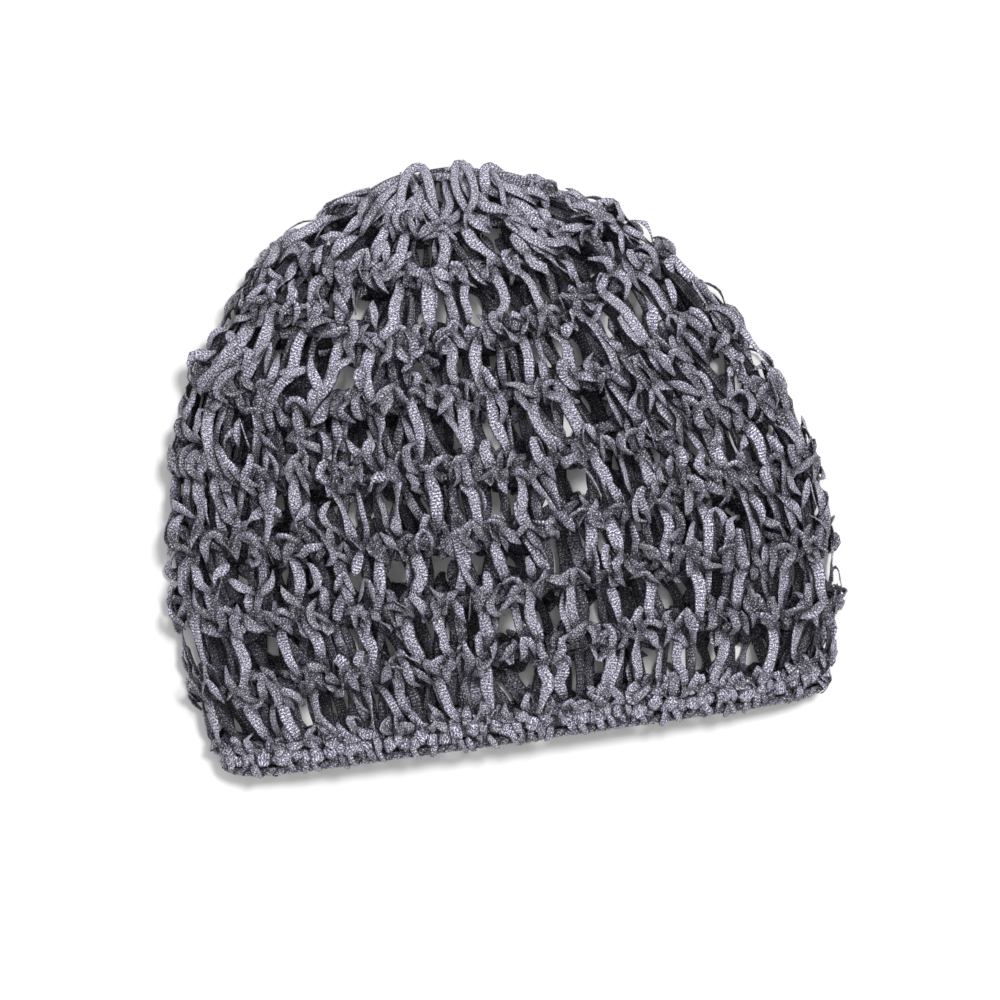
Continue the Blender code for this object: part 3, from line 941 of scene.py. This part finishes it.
def nearest_places(line, rows=40, columns=240):
    """The numbers and shares of the places on the upper rounds' wall that lie nearest to these points."""
    numbers, shares = np.meshgrid(
        np.linspace(0, CROWN_ROUNDS, rows), np.arange(columns) / columns, indexing="ij"
    )
    wall = SURFACE.at(numbers, shares)[0].reshape(-1, 3)
    nearest = np.linalg.norm(line[..., None, :] - wall, axis=-1).argmin(axis=-1)
    return numbers.ravel()[nearest], shares.ravel()[nearest]


def lay_crown(ribbon, rng):
    """The strands that lie over the top edge, carried as all others along the line through their
    knots, and flat as seen from above."""
    path = np.array([
        curve_weights(len(strand), CROWN_SAMPLES) @ np.array(strand) for strand in CROWN_STRANDS
    ])
    line, (width, curl) = path[..., :3] * MM, np.moveaxis(path[..., 3:], 2, 0)
    tangents = unit(np.gradient(line, axis=1))
    side = unit(np.cross((0.0, 0.0, 1.0), tangents))
    crease = np.broadcast_to(rng.uniform(*CREASES, size=(len(path), 1)), width.shape)
    section = (width * MM, curl, crease, ribbon.thickness * MM)
    shade = rng.uniform(size=len(path))
    return strands_along(line, tangents, side, section, *nearest_places(line), shade)


def ridge_wander(number, shares, seed):
    """How far a ridge strays down the cap, in rounds: a few slow waves round the ring."""
    drift = np.zeros_like(shares)
    for wave in RIDGE_WAVES:
        phase = np.random.default_rng(seed * 1000 + number * 10 + wave).uniform(0, 2 * math.pi)
        drift += np.sin(2 * math.pi * wave * shares + phase) / wave
    return RIDGE_DRIFT * drift


def between_ridges(number, seed):
    """How a round's places stray: as its ridge above does at the top, as the one below at the foot,
    and not at all where that is the hem."""
    def wander(shares, hang):
        above = ridge_wander(number, shares, seed)
        below = ridge_wander(number + 1, shares, seed) if number + 1 < ROUNDS else 0 * shares
        return above * hang + below * (1 - hang)

    return wander


def level(shares, hang):
    """The hem's rows don't stray."""
    return 0 * shares


def round_stitches(index, row, rng, ribbon):
    """The stitches of one round, with the play of each one's home, lean and drop."""
    play = ribbon.unevenness
    homes = (np.arange(row.stitches) + row.start) / row.stitches
    homes = homes + rng.normal(size=row.stitches) * HOME_PLAY / row.stitches * play
    right = np.clip(np.mod(homes, 1) * 2, 0, 1)
    leans = row.lean_left * (1 - right) + row.lean_right * right
    leans = leans + rng.normal(size=row.stitches) * LEAN_PLAY * play
    drops = rng.normal(size=row.stitches) * (DROP_PLAY if index + 1 < ROUNDS else 0) * play
    return Stitches(homes, leans, drops, 1 / row.stitches, index, between_ridges(index, ribbon.seed))


def lay_hem(layers, seed, ribbon):
    """The strands of the hem's narrow stitches, from the band's top to the mouth's edge."""
    rng = np.random.default_rng(seed)
    homes = (np.arange(HEM_STITCHES) + rng.normal(size=HEM_STITCHES) * HEM_PLAY) / HEM_STITCHES
    stitches = Stitches(homes, 0 * homes, 0 * homes, 1 / HEM_STITCHES, ROUNDS, level)
    return [lay_strands(layer, stitches, rng, ribbon, BAND_WIDENING, BAND_PLAY) for layer in layers]


def relief(parts):
    """How high the strands stand off the wall all over the cap: the highest corner or middle of a face
    in each cell of a grid, or the wall's inner side, smoothed twice over the cells beside it."""
    middles = [part.places[part.quads].mean(axis=1) for part in parts]
    places = np.concatenate([part.places for part in parts] + middles)
    field = np.full((RELIEF_ROWS, RELIEF_COLUMNS), INNER_SIDE)
    row = (places[:, 0] - FIRST_ROW) / (LAST_ROW - FIRST_ROW) * (RELIEF_ROWS - 1)
    row = np.clip(np.rint(row), 0, RELIEF_ROWS - 1).astype(int)
    column = np.rint(np.mod(places[:, 1], 1) * RELIEF_COLUMNS).astype(int) % RELIEF_COLUMNS
    np.maximum.at(field, (row, column), places[:, 2])
    for _ in range(2):
        padded = np.pad(field, ((1, 1), (0, 0)), mode="edge")
        field = (padded[:-2] + 2 * field + padded[2:]) / 4
        field = (np.roll(field, 1, axis=1) + 2 * field + np.roll(field, -1, axis=1)) / 4
    return field[..., None]


def openness(places, field, depth):
    """How open each point lies among the strands, as a painted lightness that sets the painted shade:
    0 at BURIED below their relief and 1 at OPEN above it, both times the depth."""
    above = places[:, 2] - blended(field, places[:, 0], places[:, 1])[:, 0]
    return np.clip((above / depth - BURIED) / (OPEN - BURIED), 0, 1)


def add_piece(name, parts, field, material, node, depth=1.0):
    """Joins the strands into one mesh, with the ribbon's own map, each point's random strand tone and its
    painted lightness.
    """
    starts = np.cumsum([0] + [len(part.points) for part in parts[:-1]])
    quads = np.concatenate([part.quads + start for part, start in zip(parts, starts)])
    points, uv, shade, places = (
        np.concatenate([getattr(part, kind) for part in parts])
        for kind in ("points", "uv", "shade", "places")
    )
    mesh = bpy.data.meshes.new(name)
    mesh.from_pydata(points, [], quads)
    layer = mesh.uv_layers.new(name="ribbon")
    layer.data.foreach_set("uv", uv[quads.ravel()].astype(np.float32).ravel())
    for label, values in (("strand_shade", shade), ("openness", openness(places, field, depth))):
        mesh.attributes.new(label, "FLOAT", "POINT").data.foreach_set("value", values.astype(np.float32))
    mesh.materials.append(material)
    mesh.shade_smooth()
    mesh.update()
    piece = bpy.data.objects.new(name, mesh)
    bpy.context.scene.collection.objects.link(piece)
    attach(piece, "root")
    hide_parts(node)


def add_node(tree, kind, settings, inputs, output=0):
    """Adds a node, sets its properties, gives each named input a value or a link, and returns one of
    its outputs."""
    node = tree.nodes.new(kind)
    for name, value in settings.items():
        setattr(node, name, value)
    for name, value in inputs.items():
        if isinstance(value, bpy.types.NodeSocket):
            tree.links.new(value, node.inputs[name])
        else:
            node.inputs[name].default_value = value
    return node.outputs[output]


# The ribbon's pattern, with grains to the mm on its own map. A real ribbon has a rib about every 0.5 mm
# and finer threads. They wouldn't show at 2.6 pixels to the mm, so both are drawn coarser.
SLIP_GRAIN = 0.8          # of the uneven patches that slip the ribs along the ribbon,
RIB_SLIP = 1.1            # by up to this many mm
DASH_STRETCH = (0.75, 1.3, 1.0)     # threads show as dashes that are longer across the ribbon
THREAD_GRAIN = 1.5
# The grain of the painted glints, bright spots that stand for light caught by threads
PAINTED_GLINT_GRAIN = 1.6
THREAD_FLOOR = 0.08       # how bright the weave stays between its threads
RIBBON_SPECULAR = 0.6
WEAVE_BUMP = 0.9
WEAVE_DEPTH = 0.3         # mm


def ribbon_material(name, ribbon):
    """Rayon ribbon yarn, woven with cross ribs: bright thread backs, dark grooves partly painted as shade,
    painted glints and a silky sheen.
    """
    material = bpy.data.materials.new(name)
    material.use_nodes = True
    add = partial(add_node, material.node_tree)
    multiply = {"operation": "MULTIPLY"}
    flat, colours = {"noise_dimensions": "2D"}, {"data_type": "RGBA"}

    place = add("ShaderNodeUVMap", {"uv_map": "ribbon"}, {}, "UV")
    shade = add("ShaderNodeAttribute", {"attribute_name": "strand_shade"}, {}, "Fac")
    painted_lit = add("ShaderNodeAttribute", {"attribute_name": "openness"}, {}, "Fac")
    millimetres = add("ShaderNodeVectorMath", {"operation": "SCALE"}, {0: place, "Scale": 1 / MM})
    across = add("ShaderNodeSeparateXYZ", {}, {0: millimetres}, "X")
    along = add("ShaderNodeSeparateXYZ", {}, {0: millimetres}, "Y")
    dashes = add("ShaderNodeVectorMath", multiply, {0: millimetres, 1: DASH_STRETCH})

    # The ribs: a wave along the ribbon, slipped in patches, and deeper on some strands than on others
    slip = add("ShaderNodeTexNoise", flat,
               {"Vector": millimetres, "Scale": SLIP_GRAIN, "Detail": 1.0, "Roughness": 0.5})
    slipped = add("ShaderNodeMath", {"operation": "MULTIPLY_ADD"}, {0: slip, 1: RIB_SLIP, 2: along})
    turns = add("ShaderNodeMath", multiply, {0: slipped, 1: 2 * math.pi / ribbon.rib_spacing})
    wave = add("ShaderNodeMath", {"operation": "SINE"}, {0: turns})
    groove = add("ShaderNodeMapRange", {}, {"Value": wave, "From Min": 0.3, "From Max": -0.9})
    depth = add("ShaderNodeMapRange", {},
                {"Value": shade, "From Min": 0.1, "From Max": 0.8, "To Min": 0.3, "To Max": 0.8})
    sunken = add("ShaderNodeMath", multiply, {0: groove, 1: depth})
    rib = add("ShaderNodeMath", {"operation": "SUBTRACT"}, {0: 1.0, 1: sunken})

    # The threads that run over the ribs, and painted glints: a few spots painted near white, as if they
    # caught the light
    grain = add("ShaderNodeTexNoise", flat,
                {"Vector": dashes, "Scale": THREAD_GRAIN, "Detail": 1.5, "Roughness": 0.75})
    thread = add("ShaderNodeMapRange", {}, {"Value": grain, "From Min": 0.46, "From Max": 0.545})
    lit = add("ShaderNodeMath", {"operation": "MULTIPLY_ADD"},
              {0: thread, 1: 1 - THREAD_FLOOR, 2: THREAD_FLOOR})
    weave = add("ShaderNodeMath", multiply, {0: rib, 1: lit})
    painted_glint_mask = add("ShaderNodeTexNoise", flat,
                  {"Vector": dashes, "Scale": PAINTED_GLINT_GRAIN, "Detail": 0.5, "Roughness": 0.5})
    painted_glint_mask = add("ShaderNodeMapRange", {}, {"Value": painted_glint_mask, "From Min": 0.52, "From Max": 0.57})
    painted_glint = add("ShaderNodeMath", multiply, {0: painted_glint_mask, 1: weave})

    # The tone: painted shade at the ribbon's edges and a little along its middle crease, a random tone by
    # strand, and painted shade in the gaps, by how buried each point lies
    off_middle = add("ShaderNodeMath", {"operation": "ABSOLUTE"}, {0: across})
    # Painted shade at the ribbon's edges, as if they turned away from the light
    painted_rim_shade = add("ShaderNodeMapRange", {},
              {"Value": off_middle, "From Min": 2.55, "From Max": 3.0, "To Min": 1.0, "To Max": 0.15})
    # Painted shade along the ribbon's middle, as in the shade of a crease
    crease = add("ShaderNodeMapRange", {},
                 {"Value": off_middle, "From Min": 0.0, "From Max": 0.5, "To Min": 0.85, "To Max": 1.0})
    edge = add("ShaderNodeMath", multiply, {0: painted_rim_shade, 1: crease})
    own = add("ShaderNodeMapRange", {}, {"Value": shade, "To Min": 0.6, "To Max": 1.25})
    bare = add("ShaderNodeMath", multiply, {0: edge, 1: own})
    # Painted shade and light: strands below those round about are painted dark, down to nearly black, and
    # those above them brighter
    painted_shade_tone = add("ShaderNodeMapRange", {"interpolation_type": "SMOOTHSTEP"},
                 {"Value": painted_lit, "From Min": 0.34, "From Max": 0.90, "To Min": 0.03, "To Max": 1.5})
    tone = add("ShaderNodeMath", multiply, {0: bare, 1: painted_shade_tone})

    # The ribs and threads set the colour: the pattern is the yarn's own, but its grooves and the gaps
    # between threads are painted near black, partly as the shade in them
    colour = add("ShaderNodeMix", colours, {"Factor": weave, 6: ribbon.groove, 7: ribbon.crest}, 2)
    toned = add("ShaderNodeVectorMath", {"operation": "SCALE"}, {0: colour, "Scale": tone})
    # A violet is added all over; it is what is left where the painted shade is darkest
    toned = add("ShaderNodeVectorMath", {"operation": "ADD"}, {0: toned, 1: ribbon.deep[:3]})
    # The painted glints are dimmed, though not put out, where the painted shade is deep
    reach = add("ShaderNodeMapRange", {}, {"Value": painted_lit, "To Min": 0.35})
    painted_glint_share = add("ShaderNodeMath", multiply, {0: painted_glint, 1: reach})
    finished = add("ShaderNodeMix", colours, {"Factor": painted_glint_share, 6: toned, 7: ribbon.painted_glint}, 2)
    gloss = add("ShaderNodeMapRange", {}, {"Value": weave, "To Min": 0.7, "To Max": 0.36})
    bump = add("ShaderNodeBump", {},
               {"Height": weave, "Strength": WEAVE_BUMP, "Distance": WEAVE_DEPTH * MM})
    shader = material.node_tree.nodes["Principled BSDF"]
    shader.inputs["Specular IOR Level"].default_value = RIBBON_SPECULAR
    for name, value in (("Base Color", finished), ("Roughness", gloss), ("Normal", bump)):
        material.node_tree.links.new(value, shader.inputs[name])
    return material


class RibbonSettings(PropertyGroup):
    """The yarn and how it is worked."""

    width: FloatProperty(name="Width", description="Ribbon width lying flat, in mm",
                         default=6.0, min=2, max=10)
    thickness: FloatProperty(name="Thickness", description="Ribbon thickness, in mm",
                             default=0.6, min=0.2, max=2)
    rib_spacing: FloatProperty(name="Rib Spacing", description="From one cross rib to the next, in mm",
                               default=1.3)
    unevenness: FloatProperty(name="Unevenness", description="How far stitches stray",
                              default=1.0, min=0, max=2)
    seed: IntProperty(name="Seed", description="Changes how the stitches stray", default=7)
    crest: FloatVectorProperty(name="Crest", description="Colour of the thread backs",
                               subtype="COLOR", size=4, default=linear("#D8D4EA"), min=0, max=1)
    # The colour between the ribs: partly the yarn's own, partly painted shade
    groove: FloatVectorProperty(name="Groove", description="Colour between the ribs",
                                subtype="COLOR", size=4, default=linear("#14101E"), min=0, max=1)
    # The colour of the painted glints, a painted highlight
    painted_glint: FloatVectorProperty(name="Glint", description="Colour of the brightest threads",
                               subtype="COLOR", size=4, default=linear("#F6F4FF"), min=0, max=1)
    # The colour left where the painted shade is darkest
    deep: FloatVectorProperty(name="Deep", description="Colour that is left in the deepest gaps",
                              subtype="COLOR", size=4, default=linear("#100C20"), min=0, max=1)


class StageSettings(PropertyGroup):
    """Floor, light and camera."""

    floor: FloatVectorProperty(name="Floor", description="Floor colour",
                               subtype="COLOR", size=4, default=linear("#F8F8F8"), min=0, max=1)
    floor_half: FloatProperty(name="Floor Half", description="From the cap to the floor's sides",
                              default=6.0, min=0.5, unit="LENGTH")
    sky: FloatProperty(name="Sky", description="Strength of the even light", default=0.5, min=0)
    key: FloatProperty(name="Key Light", description="Power of the key light",
                       default=58.0, min=0, unit="POWER")
    key_size: FloatProperty(name="Key Size", description="Width of the key light",
                            default=0.6, min=0.01, unit="LENGTH")
    key_tilt: FloatProperty(name="Key Tilt", description="How far the key light leans from straight"
                            " above, towards the picture's upper right",
                            default=math.radians(24), subtype="ANGLE")
    overhead: FloatProperty(name="Overhead Light", description="Power of the wide light",
                            default=15.0, min=0, unit="POWER")
    overhead_size: FloatProperty(name="Overhead Size", description="Width of the wide light",
                                 default=2.0, min=0.01, unit="LENGTH")
    overhead_tilt: FloatProperty(name="Overhead Tilt", description="How far the wide light leans the"
                                 " same way", default=math.radians(8), subtype="ANGLE")
    distance: FloatProperty(name="Light Distance", description="How far off the lights are",
                            default=3.0, min=0.5, unit="LENGTH")
    lens: FloatProperty(name="Lens", description="Focal length in mm", default=100.0, min=20)
    turn: FloatProperty(name="Turn", description="How far the cap is turned in the picture",
                        default=math.radians(8), subtype="ANGLE")


class WIGCAP_OT_rounds(Operator):
    """Work the nine rounds of posts and ridges"""

    bl_idname = "wig_cap.rounds"
    bl_label = "Work the Rounds"

    def execute(self, context):
        ribbon = context.scene.wig_cap_ribbon
        material = ribbon_material("rayon ribbon yarn", ribbon)
        rounds = []
        for index, row in enumerate(WORKED_ROUNDS):
            rng = np.random.default_rng(ribbon.seed * 100 + index)
            stitches = round_stitches(index, row, rng, ribbon)
            parts = [lay_strands(layer, stitches, rng, ribbon) for layer in ROUND_LAYERS]
            if index in SLIPPED_ROUNDS:
                near_fold = np.abs(np.cos(2 * math.pi * stitches.homes)) > SLIPPED_FROM
                slipped = some_of(stitches, near_fold)
                parts += [lay_strands(layer, slipped, rng, ribbon) for layer in SLIPPED_LAYERS]
            parts.append(lay_core(index + 1, RIDGE_CORE, stitches.wander))
            if index == 0:
                parts.append(lay_crown(ribbon, rng))
            rounds.append(parts)
        field = relief(sum(rounds, []))
        for index, parts in enumerate(rounds):
            add_piece(f"round_{index + 1}", parts, field, material, "net_body")
        return {"FINISHED"}


class WIGCAP_OT_band(Operator):
    """Work the close round that closes the last posts"""

    bl_idname = "wig_cap.band"
    bl_label = "Work the Hem Band"

    def execute(self, context):
        ribbon = context.scene.wig_cap_ribbon
        material = ribbon_material("rayon ribbon yarn, close", ribbon)
        parts = lay_hem(BAND_LAYERS, ribbon.seed * 100 + BAND_SEED, ribbon)
        parts.append(lay_core(ROUNDS + BAND_CORE_DOWN, BAND_CORE, level))
        add_piece("hem_stitches", parts, relief(parts), material, "hem_band", HEM_DEPTH)
        return {"FINISHED"}


class WIGCAP_OT_edge(Operator):
    """Wrap the elastic at the mouth"""

    bl_idname = "wig_cap.edge"
    bl_label = "Wrap the Edge"

    def execute(self, context):
        ribbon = context.scene.wig_cap_ribbon
        material = ribbon_material("rayon ribbon over elastic", ribbon)
        parts = lay_hem(EDGE_LAYERS, ribbon.seed * 100 + EDGE_SEED, ribbon)
        parts.append(lay_core(ROUNDS + EDGE_CORD_DOWN, ELASTIC_CORE, level))
        parts.append(lay_edge_cord())
        add_piece("edge_wrap", parts, relief(parts), material, "elastic_edge", HEM_DEPTH)
        return {"FINISHED"}


# The picture's width in pixels, and its scale at the height of the lens's focus
PICTURE_WIDTH = 1000
PIXELS_TO_MM = 2.6
FOCUS_HEIGHT = 0.02
VIEW_RIGHT, VIEW_DOWN = 5.15, 19.15     # mm from the origin to the picture's middle, as it is turned
PAPER_ROUGHNESS = 0.9


class WIGCAP_OT_stage(Operator):
    """Lay the floor and set the light and the camera"""

    bl_idname = "wig_cap.stage"
    bl_label = "Set the Stage"

    def execute(self, context):
        stage = context.scene.wig_cap_stage
        scene = context.scene
        half = stage.floor_half
        corners = [(-half, -half, 0), (half, -half, 0), (half, half, 0), (-half, half, 0)]
        mesh = bpy.data.meshes.new("floor")
        mesh.from_pydata(corners, [], [(0, 1, 2, 3)])
        floor = bpy.data.objects.new("floor", mesh)
        scene.collection.objects.link(floor)
        paper = bpy.data.materials.new("matt white paper")
        paper.use_nodes = True
        shader = paper.node_tree.nodes["Principled BSDF"]
        shader.inputs["Base Color"].default_value = stage.floor
        shader.inputs["Roughness"].default_value = PAPER_ROUGHNESS
        mesh.materials.append(paper)

        world = bpy.data.worlds.new("studio")
        world.use_nodes = True
        background = world.node_tree.nodes["Background"]
        background.inputs["Color"].default_value = (1, 1, 1, 1)
        background.inputs["Strength"].default_value = stage.sky
        scene.world = world

        turn = stage.turn
        right = Vector((math.cos(turn), -math.sin(turn), 0))
        up = Vector((math.sin(turn), math.cos(turn), 0))
        for name, power, size, tilt in (
            ("key", stage.key, stage.key_size, stage.key_tilt),
            ("overhead", stage.overhead, stage.overhead_size, stage.overhead_tilt),
        ):
            lamp = bpy.data.lights.new(name, "AREA")
            lamp.shape = "DISK"
            lamp.size = size
            lamp.energy = power
            light = bpy.data.objects.new(name, lamp)
            toward = (right + up).normalized() * math.sin(tilt) + Vector((0, 0, math.cos(tilt)))
            light.location = toward * stage.distance
            light.rotation_euler = toward.to_track_quat("Z", "Y").to_euler()
            scene.collection.objects.link(light)

        data = bpy.data.cameras.new("camera")
        data.lens = stage.lens
        view_width = PICTURE_WIDTH / PIXELS_TO_MM * MM
        look_at = right * VIEW_RIGHT * MM - up * VIEW_DOWN * MM
        height = FOCUS_HEIGHT + view_width * data.lens / data.sensor_width
        camera = bpy.data.objects.new("camera", data)
        camera.location = look_at + Vector((0, 0, height))
        camera.rotation_euler = (0, 0, -turn)
        scene.collection.objects.link(camera)
        scene.camera = camera
        scene.view_settings.view_transform = "Standard"
        return {"FINISHED"}


class WIGCAP_PT_panel(Panel):
    """Lists the steps in the order they are worked"""

    bl_idname = "WIGCAP_PT_panel"
    bl_label = "Wig Cap"
    bl_space_type = "VIEW_3D"
    bl_region_type = "UI"
    bl_category = "Wig Cap"

    def draw(self, context):
        for settings in (context.scene.wig_cap_ribbon, context.scene.wig_cap_stage):
            box = self.layout.box()
            for name in settings.__annotations__:
                box.prop(settings, name)
        for step in STEPS:
            self.layout.operator(step.bl_idname)


STEPS = (WIGCAP_OT_rounds, WIGCAP_OT_band, WIGCAP_OT_edge, WIGCAP_OT_stage)
CLASSES = (RibbonSettings, StageSettings) + STEPS + (WIGCAP_PT_panel,)


def register():
    for cls in CLASSES:
        bpy.utils.register_class(cls)
    bpy.types.Scene.wig_cap_ribbon = PointerProperty(type=RibbonSettings)
    bpy.types.Scene.wig_cap_stage = PointerProperty(type=StageSettings)


def unregister():
    del bpy.types.Scene.wig_cap_stage
    del bpy.types.Scene.wig_cap_ribbon
    for cls in reversed(CLASSES):
        bpy.utils.unregister_class(cls)


def main():
    register()
    bpy.ops.wig_cap.rounds()
    bpy.ops.wig_cap.band()
    bpy.ops.wig_cap.edge()
    bpy.ops.wig_cap.stage()


if __name__ == "__main__":
    main()
